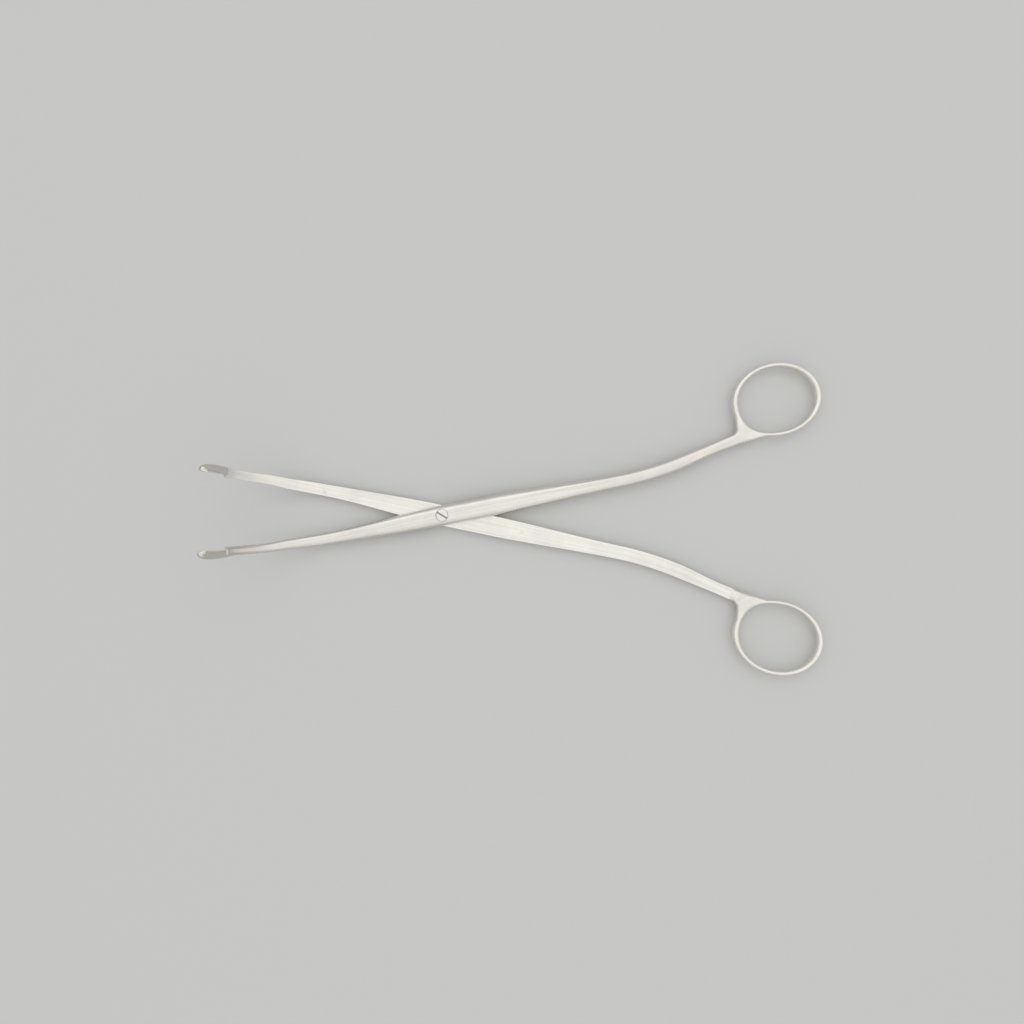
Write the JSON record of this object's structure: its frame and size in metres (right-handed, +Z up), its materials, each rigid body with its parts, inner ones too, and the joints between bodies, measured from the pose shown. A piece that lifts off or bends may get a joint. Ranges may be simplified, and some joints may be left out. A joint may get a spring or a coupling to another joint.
{
  "type": "kidney stone forceps",
  "caption": "Slim steel stone forceps: crossed half-round arms on a slotted screw, finger rings behind, upturned cupped and toothed jaws in front.",
  "frame": {"origin": "middle of the outline seen from above, on the surface the forceps lies on", "axes": "+X from the screw towards the finger rings along the middle plane, +Y towards the ring of the arm that lies on top, +Z up, the way the jaws curve"},
  "size_m": [0.2128, 0.1118, 0.0289],
  "materials": {
    "arm_steel": "satin, with polished edges and fine lengthwise grinding marks",
    "screw_steel": "turned and polished"
  },
  "bodies": {
    "lower": {"lower_arm": "arm_steel", "pivot_screw": "screw_steel"},
    "upper": {"upper_arm": "arm_steel"}
  },
  "joints": [
    {"name": "pivot", "type": "hinge", "parent": "lower", "child": "upper", "pos_m": [-0.02915, 0, 0.00285], "axis": [0, 0, 1], "range_deg": [-19, 25]}
  ]
}
